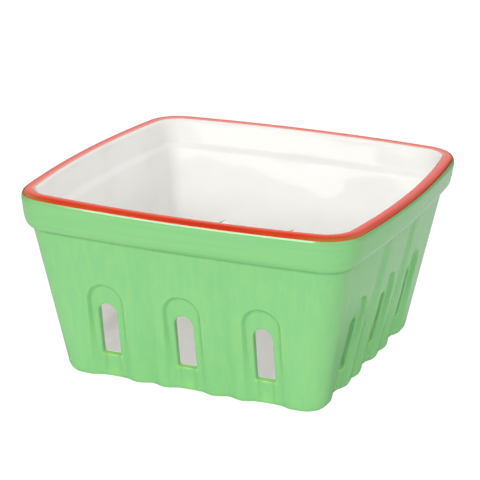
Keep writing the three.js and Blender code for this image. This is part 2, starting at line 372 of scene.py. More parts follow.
def outside_form(coat):
    """The plan of the wall at a height, drawn in by the foot's round and by a coat."""
    return lambda z: let_out(wall_form(z), -edge_drop(z, FOOT_ROUND) - coat)


def relief(x, z, coat):
    """Depth of all reliefs at a place on the front wall, apart from the slot edges."""
    u = off_arch(x)
    return arch_depth(u, z, coat) + channel_depth(u, z) + flute_depth(x, z)


def wall_y(x, z, coat):
    """y of the front wall: the plain wall, drawn in by the reliefs and the slot edges."""
    drop = edge_drop(slot_gap(off_arch(x), z, coat), SLOT_EDGE)
    return -(side_away(outside_form(coat)(z), x) - relief(x, z, coat) - drop)


print("a flute is", round(float(flute_depth(FLUTE_CENTRES[0], 0.0)), 2), "mm deep at the foot")

# %% [markdown]
# ### Where the glaze gathers, and painted shade and glints
# Melted glaze runs off edges and gathers in hollows. So the mesh notes a number at each point: above 0 where
# the place lies deeper than its surroundings, below 0 on the edge under a slot. The green finish darkens it
# above 0, partly as gathered glaze and partly as painted shade, and turns it lime below 0, partly as thin
# glaze and partly as a painted glint.

# %% Numbers for thick and thin glaze, painted shade and painted glints
POOL_REACH, POOL_TURNS = 1.6, 12
CREASE_REACH = 1.2
SILL_REACH, DRIP_GLINT = 2.0, 0.6


def pooled(x, z):
    """How much deeper a place lies than the mean of the places on a small circle round it."""
    turns = np.linspace(0, 2 * np.pi, POOL_TURNS, endpoint=False)
    around = [relief(x + POOL_REACH * np.cos(t), z + POOL_REACH * np.sin(t), 0) for t in turns]
    return relief(x, z, 0) - np.mean(around, axis=0)


def crease_pool_and_shade(z):
    """Nearness to the crease under the collar, for gathered glaze and painted shade: 0 below, 1 in it."""
    # Painted shade with gathered glaze, in the crease under the collar.
    return soft_step(COLLAR_FOOT - CREASE_REACH, COLLAR_FOOT, z)


def thin_and_glinting(x, z):
    """Thin glaze and painted glint under a slot: 1 on its lower edge, and a share down its channel."""
    u = off_arch(x)
    # Painted glint with thin glaze, on the slot's lower edge and down its channel.
    sill = soft_step(SILL_REACH, 0, slot_gap(u, z, 0)) * soft_step(SLOT_SIDE, SLOT_BOTTOM, z)
    drip_glint = soft_step(SLOT_HALF, SLOT_CORNER, np.abs(u)) * soft_step(SLOT_BOTTOM, SLOT_HALF, z)
    return sill + DRIP_GLINT * drip_glint


def glaze_shade_and_glint(x, z):
    """Above 0 for gathered glaze and painted shade, below 0 for thin glaze and a painted glint."""
    # Painted shade and painted glint: hollows and the crease get darker, edges under the slots turn lime.
    return pooled(x, z) + crease_pool_and_shade(z) - thin_and_glinting(x, z)


print("noted on the edge under a slot:", round(float(glaze_shade_and_glint(0.0, SLOT_BOTTOM)), 2))

# %% [markdown]
# ## The grid that follows an arch
# A plain square grid would cut across the arches and show steps. So the columns of this grid start at the
# foot, go up one leg of the arch, over its crown and down the other leg, and the rows step outward from the
# slot to the arch edge and on to the edge of the cell that the arch stands in. Close rows lie where the wall
# bends.

# %% Lines of one cell
QUARTER = np.linspace(0, np.pi / 2, 6)
EDGE_SHARE = 0.1
LOW_SHARES = np.concatenate([[0, 0.25, 0.5, 0.7, 0.82], 1 - EDGE_SHARE * (1 - np.sin(QUARTER))])
HIGH_SHARES = np.linspace(0, 1, 7)[1:]
CROWN_SIDE, CROWN_TOP = 8, 16
CROWN_ANGLES = np.linspace(np.pi, 0, 2 * CROWN_SIDE + CROWN_TOP + 1)[1:-1]
CROWDING = 1.8
SIDE_SHARES = 1 - (1 - np.linspace(0, 1, CROWN_SIDE + 1)[1:]) ** CROWDING
TOP_SPREAD = -np.cos(np.linspace(0, np.pi, CROWN_TOP + 1))[1:-1]


def leg_heights(foot, crown):
    """Heights up one leg, close together beside the slot's lower edge."""
    crown = np.asarray(crown, dtype=float)
    low = between(foot, SLOT_SIDE, LOW_SHARES)
    high = between(SLOT_SIDE, crown[..., None], HIGH_SHARES)
    return np.concatenate([np.broadcast_to(low, high.shape[:-1] + low.shape), high], axis=-1)


def arch_lines(half, crown, foot):
    """u and z of upside-down U lines: a leg up, a half circle of the given half width, and a leg down."""
    half = np.asarray(half, dtype=float)[:, None]
    leg = leg_heights(foot, crown)
    side = np.broadcast_to(half, leg.shape)
    round_u = half * np.cos(CROWN_ANGLES)
    round_z = np.asarray(crown, dtype=float)[:, None] + half * np.sin(CROWN_ANGLES)
    return (
        np.concatenate([-side, round_u, side[:, ::-1]], axis=1),
        np.concatenate([leg, round_z, leg[:, ::-1]], axis=1),
    )


def cell_sides(centre, z, form_at):
    """x of both sides of a cell: each is the middle of a flute, or the place where the corner begins."""
    corner = side_end(form_at(z))
    places = [centre - ARCH_PITCH / 2, centre + ARCH_PITCH / 2]
    return [np.where(abs(place) < ARCH_PITCH, place, np.sign(place) * corner) for place in places]


def side_heights(foot, top):
    """Heights up the side of a cell: those of a leg, and then on to the cell's top, closer and closer."""
    return np.concatenate([leg_heights(foot, ARCH_CROWN), between(ARCH_CROWN, top, SIDE_SHARES)])


def cell_line(centre, foot, top, form_at):
    """x and z round a cell: up its left side, along its top, where points crowd to the ends, and down."""
    z = side_heights(foot, top)
    left, right = cell_sides(centre, z, form_at)
    middle, reach = (left[-1] + right[-1]) / 2, (right[-1] - left[-1]) / 2
    over = middle + reach * TOP_SPREAD
    return (
        np.concatenate([left, over, right[::-1]]),
        np.concatenate([z, np.full_like(over, top), z[::-1]]),
    )


print("one arch has", len(CROWN_ANGLES) + 2 * (len(LOW_SHARES) + len(HIGH_SHARES)), "columns")

# %% Nets of one cell
ARCH_ROWS = ARCH_HALF - np.array([1.7, 1.35, 1.05, 0.75, 0.45, 0.15, -0.15, -0.4, -0.7])
ROWS_BETWEEN = 4
CELL_SHARES = np.array([0.2, 0.42, 0.52, 0.62, 0.72, 0.82, 0.92, 1.0])
SILL_SHARES = np.sin(np.linspace(-np.pi / 2, np.pi / 2, 19))


def edge_lines(coat, radius):
    """Half widths of the lines on a slot's rounded edge, at even angles of its quarter circle."""
    return SLOT_HALF + coat + radius * (1 - np.sin(QUARTER[::-1]))


def arch_rows(coat):
    """Half widths and crown heights of the lines from a slot's edge out past the edge of its arch."""
    edge = edge_lines(coat, SLOT_EDGE)
    away = np.linspace(edge[-1], ARCH_ROWS[0] + coat, ROWS_BETWEEN + 2)[1:-1]
    rising = np.linspace(SLOT_CROWN, ARCH_CROWN, ROWS_BETWEEN + 2)[1:-1]
    crowns = [np.full_like(edge, SLOT_CROWN), rising, np.full_like(ARCH_ROWS, ARCH_CROWN)]
    return np.concatenate([edge, away, ARCH_ROWS + coat]), np.concatenate(crowns)


def carry_on(lines, edge, shares):
    """The lines, and after them more lines at shares of the way from the last one to an edge."""
    return np.concatenate([lines, between(lines[-1], edge, shares[:, None])])


def cell_net(centre, coat, foot, top, form_at):
    """x and z of one cell of the outside: from the slot to the arch edge, and on to the cell's edge."""
    u, z = arch_lines(*arch_rows(coat), foot)
    edge_x, edge_z = cell_line(centre, foot, top, form_at)
    return carry_on(centre + u, edge_x, CELL_SHARES), carry_on(z, edge_z, CELL_SHARES)


def sill_net(centre, coat, foot):
    """x and z of the patch under a slot, from the foot to the slot's lower edge with its round corners."""
    half, corner = SLOT_HALF + coat, SLOT_CORNER + coat
    u = half * SILL_SHARES
    bend = np.clip(np.abs(u) - (half - corner), 0, corner)
    top = SLOT_SIDE - np.sqrt(corner**2 - bend**2)
    return np.broadcast_to(centre + u, (len(LOW_SHARES), len(u))), between(foot, top, LOW_SHARES[:, None])


def columns_below(centre, coat, half, shares, z, form_at):
    """x of a cell's columns below its slot, for each height: the sill, the lines, and on to both sides."""
    lines = np.broadcast_to(half, (len(z), len(half)))
    left, right = [side[:, None] - centre for side in cell_sides(centre, z, form_at)]
    to_left = between(-half[-1], left, shares)
    to_right = between(half[-1], right, shares)
    sill = np.broadcast_to((SLOT_HALF + coat) * SILL_SHARES, (len(z), len(SILL_SHARES)))
    parts = [to_left[:, ::-1], -lines[:, ::-1], sill[:, 1:-1], lines, to_right]
    return centre + np.concatenate(parts, axis=1)


print("one cell has", len(arch_rows(0)[0]) + len(CELL_SHARES), "rows")

# %% [markdown]
# ## The outside wall and the foot
# The nets above give places on the wall, and the depths give their distance from the middle. The foot goes on
# below the cells with the same columns, so the recesses and flutes scallop the lower edge as on the real one.

# %% Outside grids for the front and its corner
BARE_FOOT = 1.0
FOOT_SHARES = np.linspace(0, 1, 7)


def foot_heights(lowest):
    """Heights of the foot's rows, at even angles round its quarter circle, from the lowest to its top."""
    first = np.arccos(1 - lowest / FOOT_ROUND)
    return FOOT_ROUND * (1 - np.cos(between(first, np.pi / 2, FOOT_SHARES)))


def foot_columns(centre, coat, z):
    """x of the outside's columns below one arch, for each height."""
    return columns_below(centre, coat, arch_rows(coat)[0], CELL_SHARES, z, outside_form(coat))


def outside_grids(coat, lowest):
    """Grids of the outside wall from its lowest height to the collar, for the front and one corner."""
    form_at = outside_form(coat)
    foot_z = foot_heights(lowest)
    grids = []
    for centre in ARCH_CENTRES:
        foot_x = foot_columns(centre, coat, foot_z)
        nets = [
            cell_net(centre, coat, FOOT_ROUND, COLLAR_FOOT, form_at),
            sill_net(centre, coat, FOOT_ROUND),
            (foot_x, foot_z[:, None] + 0 * foot_x),
        ]
        for x, z in nets:
            grids.append(grid(x, wall_y(x, z, coat), z, pool=glaze_shade_and_glint(x, z), tunnel=0.0))
    corner_z = np.concatenate([foot_z, side_heights(FOOT_ROUND, COLLAR_FOOT)[1:]])
    x, y = corner_line(form_at(corner_z))
    grids.append(grid(x, y, corner_z[:, None], pool=crease_pool_and_shade(corner_z)[:, None], tunnel=0.0))
    return grids


print("outside wall:", count_points(outside_grids(0, BARE_FOOT)), "points")

# %% [markdown]
# ## The slots
# A slot's lining is the slot's outline carried through the wall, so the inside of the wall has to be known
# first. The slots rise a little inward, because they stand square to the sloping wall.

# %% Inside of the wall
WALL_THICKNESS = 5.0
FLOOR_THICKNESS = 5.0
INSIDE_ROUND = 6.0
INSIDE_EDGE = 0.6
INSIDE_FOOT = 9.0
INSIDE_STEP_FOOT, INSIDE_STEP_TOP = 65.4, 68.3
INSIDE_LEAN, LEAN_FOOT = 0.6, 52.0
SLOT_RISE = 0.67
LEVEL = np.array([INSIDE_FOOT, SLOT_BOTTOM, COLLAR_FOOT])
LIFTED = LEVEL + [0, SLOT_RISE, SLOT_RISE]


def inside_lean(z):
    """How far the inside wall leans out on its way up to the step: a parabola from nothing to full."""
    return INSIDE_LEAN * np.clip((z - LEAN_FOOT) / (INSIDE_STEP_FOOT - LEAN_FOOT), 0, 1) ** 2


def inside_wall_form(coat):
    """The plan of the inside wall at a height: in by the wall and the floor's round, out by a coat."""
    return lambda z: let_out(
        wall_form(z), coat - WALL_THICKNESS + inside_lean(z) - edge_drop(z - FLOOR_THICKNESS, INSIDE_ROUND)
    )


def lifted(z):
    """Height on the inside for a height on the outside, straight between the levels that are known."""
    return np.interp(z, LEVEL, LIFTED)


def inside_y(x, z, coat):
    """y of the inside of the front wall, with the rounded edges of the lifted slots."""
    drop = edge_drop(slot_gap(off_arch(x), np.interp(z, LIFTED, LEVEL), coat), INSIDE_EDGE)
    return -(side_away(inside_wall_form(coat)(z), x) + drop)


print("a slot's sill lies", round(float(lifted(SLOT_BOTTOM)), 2), "mm up on the inside")

# %% Linings of the slots
# Painted shade in the slot linings and a painted glint on their sills.
LINING_SHADE, SILL_GLINT = 0.6, -1.0
TUNNEL_SHARES = np.linspace(0, 1, 6)


def slot_outline(centre, coat):
    """x and z round a slot: up its left side, over its crown, down and back along its lower edge."""
    u, z = arch_lines([SLOT_HALF + coat], [SLOT_CROWN], FOOT_ROUND)
    first = len(LOW_SHARES) - 1
    x, z = centre + u[0, first:-first], z[0, first:-first]
    sill_x, sill_z = sill_net(centre, coat, FOOT_ROUND)
    return np.concatenate([x, sill_x[-1, ::-1][1:]]), np.concatenate([z, sill_z[-1, ::-1][1:]])


def lining_pool(z):
    """Inside a slot: painted shade where glaze gathers on sides and crown, painted glint on the thin sill."""
    # Painted shade on the lining's sides and crown, painted glint on its sill.
    return between(LINING_SHADE, SILL_GLINT, soft_step(SLOT_SIDE, SLOT_BOTTOM, z))


def slot_grids(coat):
    """Linings of the three slots of the front, from the inside of the wall out to its face."""
    grids = []
    for centre in ARCH_CENTRES:
        x, z = slot_outline(centre, coat)
        share = TUNNEL_SHARES[:, None]
        y = between(inside_y(x, lifted(z), coat), wall_y(x, z, coat), share)
        grids.append(grid(x, y, between(lifted(z), z, share), pool=lining_pool(z), tunnel=1 - share))
    return grids


print("slot linings:", count_points(slot_grids(0)), "points")

# %% [markdown]
# ## The collar and the lip
# Above the wall a collar steps out, flares a little and ends in a round lip. It is a profile carried round
# the punnet: each row of the grid is one level of that profile, and the columns go on from the wall's
# columns, so no gap opens.

# %% Collar and lip profiles
COLLAR_ROUND, COLLAR_ROUND_HEIGHT = 1.9, 4.0
COLLAR_BULGE = 0.55
LIP_FLAT = 0.5
RED_DROP, RED_DROP_INSIDE = 1.8, 0.55
BEAD, BEAD_LOW, BEAD_MIDDLE = 0.2, 72.0, 75.8
ROUND_LEVELS, FLARE_LEVELS, LIP_LEVELS = 9, 13, 6
OUTER_LIP = RIM_HALF - LIP_RADIUS
INNER_LIP = OUTER_LIP - LIP_FLAT


def bead(z):
    """A low bead of glaze just under the red edge: it rises from below, and falls to nothing at the edge."""
    return BEAD * soft_step(BEAD_LOW, BEAD_MIDDLE, z) * soft_step(HEIGHT - RED_DROP, BEAD_MIDDLE, z)


def lip_rows(coat, angles, centre, side):
    """Forms and heights of the lip's round at angles above level, on its outer (1) or inner (-1) side."""
    radius = LIP_RADIUS - coat
    z = LIP_CENTRE + radius * np.sin(angles)
    outward = centre + side * radius * np.cos(angles) - RIM_HALF
    if side > 0:
        outward = outward + bead(z)
    return let_out(collar_form(np.full_like(z, LIP_CENTRE)), outward), z


def red_angle(coat, drop):
    """Angle above level at which the lip's round meets a red edge that lies a drop below its top."""
    return np.arcsin((LIP_RADIUS - drop) / (LIP_RADIUS - coat))


def swell(z):
    """How far the collar swells out of its straight flare: a parabola with its top halfway, and the bead."""
    share = (z - COLLAR_FOOT) / (LIP_CENTRE - COLLAR_FOOT)
    return 4 * COLLAR_BULGE * share * (1 - share) + bead(z)


def collar_rows(coat):
    """Forms and heights of the collar: the round at its step, its flare, and the lip up to the red edge."""
    turn = np.linspace(0, np.pi / 2, ROUND_LEVELS)
    inset = (COLLAR_ROUND - coat) * (1 - np.sin(turn))
    round_z = COLLAR_FOOT + coat + (COLLAR_ROUND_HEIGHT - coat) * (1 - np.cos(turn))
    round_form = let_out(collar_form(round_z), swell(round_z) - coat - inset)
    flare_z = np.linspace(round_z[-1], LIP_CENTRE, FLARE_LEVELS)[1:-1]
    flare_form = let_out(collar_form(flare_z), swell(flare_z) - coat)
    angles = np.linspace(0, red_angle(coat, RED_DROP), LIP_LEVELS)
    lip_form, lip_z = lip_rows(coat, angles, OUTER_LIP, 1)
    forms = np.concatenate([round_form, flare_form, lip_form], axis=1)
    return forms, np.concatenate([round_z, flare_z, lip_z])


print("red edges", HEIGHT - RED_DROP, "mm up outside and", HEIGHT - RED_DROP_INSIDE, "mm up inside")

# %% Grids of the collar and the lip
INSIDE_TOP = 60.0
CREASE_SHADE_ROWS = [1.0, 0.6, 0.2]
RED_LEVELS_OUTSIDE, RED_LEVELS_INSIDE = 10, 6
CORNER_START, CORNER_END = 48.0, 64.0
SHARE_DIGITS = 9


def top_shares(form_at, foot, top):
    """Places of the cells' top columns along a side, as shares of its half length."""
    lines = [cell_line(centre, foot, top, form_at) for centre in ARCH_CENTRES]
    count = len(side_heights(foot, top)) - 1
    x = np.concatenate([line_x[count:-count] for line_x, line_z in lines])
    return np.unique(np.round(x / side_end(form_at(top)), SHARE_DIGITS))


def collar_grids(coat):
    """One grid of the collar, whose first row is the top of the fluted wall."""
    form_at = outside_form(coat)
    shares = top_shares(form_at, FOOT_ROUND, COLLAR_FOOT)
    top = np.array(COLLAR_FOOT)
    wall_x, plain_y = quarter_line(form_at(top), shares)
    fluted = wall_y(wall_x[:len(shares)], top, coat)
    first_y = np.concatenate([fluted, plain_y[len(shares):]])
    form, z = collar_rows(coat)
    x, y = quarter_line(form, shares)
    rows_x = np.concatenate([wall_x[None], x])
    rows_y = np.concatenate([first_y[None], y])
    rows_z = np.concatenate([[COLLAR_FOOT], z])[:, None]
    # Painted shade with gathered glaze on the first rows, at the crease under the collar.
    crease_shade = np.zeros_like(rows_z)
    crease_shade[:len(CREASE_SHADE_ROWS), 0] = CREASE_SHADE_ROWS
    return [grid(rows_x, rows_y, rows_z, pool=crease_shade, tunnel=0.0)]


def lip_grids(coat):
    """One grid over the lip, from the red edge outside over the top to the red edge inside."""
    outer_angles = np.linspace(red_angle(coat, RED_DROP), np.pi / 2, RED_LEVELS_OUTSIDE)
    inner_angles = np.linspace(np.pi / 2, red_angle(coat, RED_DROP_INSIDE), RED_LEVELS_INSIDE)
    outer, outer_z = lip_rows(coat, outer_angles, OUTER_LIP, 1)
    inner, inner_z = lip_rows(coat, inner_angles, INNER_LIP, -1)
    z = np.concatenate([outer_z, inner_z])[:, None]
    outside = top_shares(outside_form(coat), FOOT_ROUND, COLLAR_FOOT)
    inside = top_shares(inside_wall_form(coat), INSIDE_FOOT, INSIDE_TOP)
    across = np.linspace(0, 1, len(z))[:, None]
    x, y = quarter_line(np.concatenate([outer, inner], axis=1), between(outside, inside, across))
    bend = soft_step(CORNER_START, CORNER_END, np.minimum(np.abs(x), np.abs(y)))
    return [grid(x, y, z, over=across, bend=bend)]


print("collar:", count_points(collar_grids(0)), "points, lip:", count_points(lip_grids(0)), "points")

# %% [markdown]
# ## The inside
# The inside repeats the wall one wall thickness further in, with a soft step where the collar begins and a
# round at the floor. Its cells follow the slots, so the slots break through cleanly. The floor closes in
# rings that shrink to one point in the middle.

# %% Cells, step and floor of the inside
FLOOR_RINGS = np.linspace(1, 0, 8)
INSIDE_CELL_SHARES = np.array([0.08, 0.2, 0.4, 0.6, 0.8, 1.0])
FLOOR_ROUND_LEVELS = 9


def inside_net(centre, coat, form_at):
    """x and z of one cell of the inside, from the cell's edge in to the slot."""
    half = edge_lines(coat, INSIDE_EDGE)
    u, z = arch_lines(half, np.full_like(half, SLOT_CROWN), INSIDE_FOOT)
    edge_x, edge_z = cell_line(centre, INSIDE_FOOT, INSIDE_TOP, form_at)
    x = carry_on(centre + u, edge_x, INSIDE_CELL_SHARES)
    z = carry_on(lifted(z), edge_z, INSIDE_CELL_SHARES)
    return x[::-1], z[::-1]


def inside_form(z, coat):
    """The plan of the inside above its cells: the wall's line, then a soft step out to the collar's."""
    share = np.clip((z - COLLAR_FOOT) / (LIP_CENTRE - COLLAR_FOOT), 0, 1)
    wall = inside_wall_form(coat)(z)
    collar = let_out(collar_form(z), coat - WALL_THICKNESS - LIP_FLAT * share)
    return between(wall, collar, soft_step(INSIDE_STEP_FOOT, INSIDE_STEP_TOP, z))


def floor_heights(coat):
    """Heights down the round at the floor, at even angles of its quarter circle, sunk by a coat below."""
    first = np.arccos(1 - (INSIDE_FOOT - FLOOR_THICKNESS) / INSIDE_ROUND)
    z = FLOOR_THICKNESS + INSIDE_ROUND * (1 - np.cos(np.linspace(first, 0, FLOOR_ROUND_LEVELS)))
    return z - coat * soft_step(INSIDE_FOOT, FLOOR_THICKNESS, z)


def close_in(x, y, z):
    """A grid that goes on from its last row in rings that shrink to one point in the middle."""
    ring = FLOOR_RINGS[1:, None]
    rows_x, rows_y = [np.concatenate([rows, ring * rows[-1]]) for rows in (x, y)]
    return grid(rows_x, rows_y, np.concatenate([z, z[-1] + 0 * ring]))


print("floor", FLOOR_THICKNESS, "mm thick, closed by", len(FLOOR_RINGS) - 1, "rings")

# %% Inside grids for the front and its corner
INSIDE_LIP_LEVELS, INSIDE_COLLAR_LEVELS, INSIDE_STEP_LEVELS, INSIDE_WALL_LEVELS = 8, 8, 11, 5


def inside_top(coat, form_at):
    """One grid of the inside from the red edge over the lip's round and the step down to the cells' top."""
    angles = np.linspace(red_angle(coat, RED_DROP_INSIDE), 0, INSIDE_LIP_LEVELS)
    lip_form, lip_z = lip_rows(coat, angles, INNER_LIP, -1)
    upper_z = np.concatenate([
        np.linspace(LIP_CENTRE, INSIDE_STEP_TOP, INSIDE_COLLAR_LEVELS)[1:],
        np.linspace(INSIDE_STEP_TOP, INSIDE_STEP_FOOT, INSIDE_STEP_LEVELS)[1:],
        np.linspace(INSIDE_STEP_FOOT, INSIDE_TOP, INSIDE_WALL_LEVELS)[1:],
    ])
    form = np.concatenate([lip_form, inside_form(upper_z, coat)], axis=1)
    x, y = quarter_line(form, top_shares(form_at, INSIDE_FOOT, INSIDE_TOP))
    return grid(x, y, np.concatenate([lip_z, upper_z])[:, None])


def inside_grids(coat):
    """Grids of the inside from the red edge down to the middle of the floor."""
    form_at = inside_wall_form(coat)
    floor_z = floor_heights(coat)
    grids = [inside_top(coat, form_at)]
    for centre in ARCH_CENTRES:
        x, z = inside_net(centre, coat, form_at)
        grids.append(grid(x, inside_y(x, z, coat), z))
        x, z = sill_net(centre, coat, INSIDE_FOOT)
        z = lifted(z)
        grids.append(grid(x[::-1], inside_y(x, z, coat)[::-1], z[::-1]))
        x = columns_below(centre, coat, edge_lines(coat, INSIDE_EDGE), INSIDE_CELL_SHARES, floor_z, form_at)
        z = floor_z[:, None] + 0 * x
        grids.append(close_in(x, inside_y(x, z, coat), z))
    corner_z = np.concatenate([side_heights(INSIDE_FOOT, INSIDE_TOP)[::-1], floor_z[1:]])
    x, y = corner_line(form_at(corner_z))
    grids.append(close_in(x, y, corner_z[:, None] + 0 * x))
    return grids


print("inside:", count_points(inside_grids(0)), "points")

# %% [markdown]
# ## The underside
# The punnet was fired standing on its foot, so no glaze reaches the bottom: bare clay shows on the lowest
# millimetre, on the flat foot ring and in the shallow recess within it.

# %% Underside grids
FOOT_RING_WIDTH = 8.0
FOOT_RECESS = 0.8
RECESS_SHARES = np.linspace(0, 1, 7)


def underside_rows(coat):
    """Scale and height of the rings under the foot: the flat ring, a soft step up and the recessed base."""
    outer = FOOT_HALF - FOOT_ROUND - coat
    inner = outer - FOOT_RING_WIDTH
    step = between(inner + FOOT_RECESS, inner - FOOT_RECESS, RECESS_SHARES)
    half = np.concatenate([[outer], step, inner * FLOOR_RINGS[1:]])
    rise = np.concatenate([[0], soft_step(0, 1, RECESS_SHARES), np.ones(len(FLOOR_RINGS) - 1)])
    return half / outer, FOOT_RECESS * rise


def underside_grids(coat):
    """Grids of the underside, on the columns of the foot, from the middle out to the foot's edge."""
    scale, rise = [rows[::-1, None] for rows in underside_rows(coat)]
    form_at = outside_form(coat)
    ground = np.zeros(1)
    grids = []
    for centre in ARCH_CENTRES:
        x = foot_columns(centre, coat, ground)
        y = scale * -side_away(form_at(0 * x), x)
        y[-1] = wall_y(x, 0 * x, coat)
        grids.append(grid(scale * x, y, rise + 0 * x))
    x, y = corner_line(form_at(ground))
    grids.append(grid(scale * x, scale * y, rise + 0 * x))
    return grids


print("underside:", count_points(underside_grids(0)), "points")

# %% Make the four parts
green = make_piece(
    "green_glaze", outside_grids(0, BARE_FOOT) + slot_grids(0) + collar_grids(0), "green_outside_glaze"
)
white = make_piece("white_glaze", inside_grids(0), "white_inside_glaze")
red = make_piece("red_lip_glaze", lip_grids(0), "red_rim_band")
clay_skin = outside_grids(GLAZE, 0.0) + slot_grids(GLAZE) + collar_grids(GLAZE)
clay_skin = clay_skin + lip_grids(GLAZE) + inside_grids(GLAZE) + underside_grids(GLAZE)
clay = make_piece("clay", [(points, {}) for points, notes in clay_skin], "clay_body")
for coated in (green, white, red):
    give_coat(coated)

# %% [markdown]
# ## Finishes
# A fired glaze is a coloured glass skin over clay: it is glossy, it gathers in hollows, runs thin and pale on
# edges, and a brush leaves streaks in it. An image texture would fix that to one picture size, so the
# streaks, the gathering and the fine unevenness come from noise and from the numbers noted at the mesh
# points, which also carry painted shade in hollows, painted glints under the slots and painted light on the
# lip's crest. What two finishes share is a node group.

# %% Helpers for nodes
def feed(tree, socket, source):
    """Gives an input either a fixed value or the output that feeds it."""
    if isinstance(source, bpy.types.NodeSocket):
        tree.links.new(source, socket)
    else:
        socket.default_value = source


def add(tree, kind, sources=None, **settings):
    """A new node of a kind with its settings, and a source for each input that is listed."""
    node = tree.nodes.new(kind)
    for name, value in settings.items():
        setattr(node, name, value)
    for label, source in (sources or {}).items():
        feed(tree, node.inputs[label], source)
    return node


def place_on(tree):
    """The place of a point on its piece, in metres."""
    return add(tree, "ShaderNodeTexCoord").outputs["Object"]


def height_of(tree):
    """Height of a place above the ground, in metres."""
    return add(tree, "ShaderNodeSeparateXYZ", {0: place_on(tree)}).outputs["Z"]


def noted(tree, name):
    """The number that the mesh notes under a name."""
    return add(tree, "ShaderNodeAttribute", attribute_name=name).outputs["Fac"]


def blend(tree, share, first, second):
    """Colour that goes from the first to the second as the share goes from 0 to 1."""
    # Several inputs of this node share a name, so the two colours are found by number.
    sources = {0: share, 6: first, 7: second}
    return add(tree, "ShaderNodeMix", sources, data_type="RGBA", clamp_factor=True).outputs[2]


def span(tree, value, low, high, start=0.0, end=1.0):
    """Maps low to high onto start to end, smoothly and without going past either."""
    sources = dict(enumerate((value, low, high, start, end)))
    return add(tree, "ShaderNodeMapRange", sources, interpolation_type="SMOOTHSTEP").outputs[0]


def calculate(tree, operation, first, second):
    """One step of arithmetic on two values."""
    return add(tree, "ShaderNodeMath", {0: first, 1: second}, operation=operation).outputs[0]


def noise(tree, place, scale, detail, roughness=0.5):
    """Value of a noise at a place, with a scale in bumps per metre."""
    sources = {"Vector": place, "Scale": scale, "Detail": detail, "Roughness": roughness}
    return add(tree, "ShaderNodeTexNoise", sources).outputs["Fac"]


# %% Helpers for groups and materials
def new_group(name, inputs, outputs):
    """An empty node group with named sockets, the node of what it is given and that of what it makes."""
    tree = bpy.data.node_groups.new(name, "ShaderNodeTree")
    for label, kind, value in inputs:
        tree.interface.new_socket(label, in_out="INPUT", socket_type=kind).default_value = value
    for label in outputs:
        tree.interface.new_socket(label, in_out="OUTPUT", socket_type="NodeSocketFloat")
    return tree, add(tree, "NodeGroupInput").outputs, add(tree, "NodeGroupOutput").inputs


def use_group(tree, group, values):
    """What the group makes when it is placed in a material with its own values."""
    return add(tree, "ShaderNodeGroup", values, node_tree=group).outputs


def new_material(name):
    """A material with its Principled shader, and the tree that the shader stands in."""
    material = bpy.data.materials.new(name)
    material.use_nodes = True
    return material, material.node_tree


def dress(mesh, material, sources):
    """Feeds the material's Principled shader, and puts the material on a mesh."""
    tree = material.node_tree
    for label, source in sources.items():
        feed(tree, tree.nodes["Principled BSDF"].inputs[label], source)
    mesh.materials.append(material)
    print(material.name, "has", len(tree.nodes), "nodes")


# %% [markdown]
# ### Brush strokes and the skin of the glaze
# Strokes are noise that is stretched along the brush: many changes across it, few along it. The skin of a
# glaze is never flat: it has long soft waves and a fine orange peel, which only show in the gloss.

# %% Shared groups: strokes and skin
STREAK_DETAIL, STREAK_ROUGHNESS = 4.0, 0.65
PATCH_SCALE, PATCH_DETAIL = 28.0, 2.0
CONTRAST = (0.3, 0.7)
WAVE_DETAIL = 1.0
PEEL_SCALE, PEEL_DETAIL = 420.0, 2.0

strokes, given, made = new_group(
    "brush_strokes", [("Grain", "NodeSocketVector", (400, 400, 20))], ["Streak", "Patch"]
)
place = place_on(strokes)
stretched = add(strokes, "ShaderNodeVectorMath", {0: place, 1: given["Grain"]}, operation="MULTIPLY")
streak = noise(strokes, stretched.outputs[0], 1.0, STREAK_DETAIL, STREAK_ROUGHNESS)
feed(strokes, made["Streak"], span(strokes, streak, *CONTRAST))
feed(strokes, made["Patch"], span(strokes, noise(strokes, place, PATCH_SCALE, PATCH_DETAIL), *CONTRAST))

skin, given, made = new_group("glaze_skin", [
    ("Waves", "NodeSocketFloat", 0.6),
    ("Wave Scale", "NodeSocketFloat", 55.0),
    ("Peel", "NodeSocketFloat", 0.1),
], ["Height"])
place = place_on(skin)
long_waves = noise(skin, place, given["Wave Scale"], WAVE_DETAIL)
waves = calculate(skin, "MULTIPLY", long_waves, given["Waves"])
peel = calculate(skin, "MULTIPLY", noise(skin, place, PEEL_SCALE, PEEL_DETAIL), given["Peel"])
feed(skin, made["Height"], calculate(skin, "ADD", waves, peel))
print("groups:", [group.name for group in (strokes, skin)])


def skin_normal(tree, depth, values):
    """Normal of a surface whose skin rises by up to a depth in millimetres."""
    height = use_group(tree, skin, values)["Height"]
    sources = {"Strength": 1.0, "Distance": depth * MM, "Height": height}
    return add(tree, "ShaderNodeBump", sources).outputs["Normal"]


# %% [markdown]
# ### Green glaze
# The wall was brushed up and down and the collar along its length, so the strokes turn at the step. The glaze
# is darker where it has gathered, with painted shade in hollows, in the crease and in the slot linings, lime
# where it runs thin, with a painted glint under each slot, and ends inside the slots, where the white of the
# inside takes over.

# %% Green glaze material
GREEN = (0.218, 0.53, 0.202, 1)
YELLOW_GREEN = (0.262, 0.56, 0.188, 1)
BLUE_GREEN = (0.172, 0.5, 0.216, 1)
# Colours of gathered glaze with painted shade, and of thin glaze with a painted glint.
DEEP_GREEN_AND_SHADE = (0.06, 0.3, 0.08, 1)
LIME_AND_GLINT = (0.33, 0.68, 0.13, 1)
WHITE = (0.91, 0.9, 0.875, 1)
UPRIGHT_GRAIN, LEVEL_GRAIN = (420, 420, 16), (16, 16, 520)
TURN_REACH = 0.5
EVENNESS = 0.68
GATHERED_AND_SHADED, DEEPEST_SHADE = (0.1, 1.0), 0.6
THINNED_AND_GLINTING, PALEST_GLINT = (-0.2, -1.0), 0.5
LINED = (0.75, 0.95)
GREEN_ROUGHNESS = (0.06, 0.12)
GREEN_SKIN = 0.25

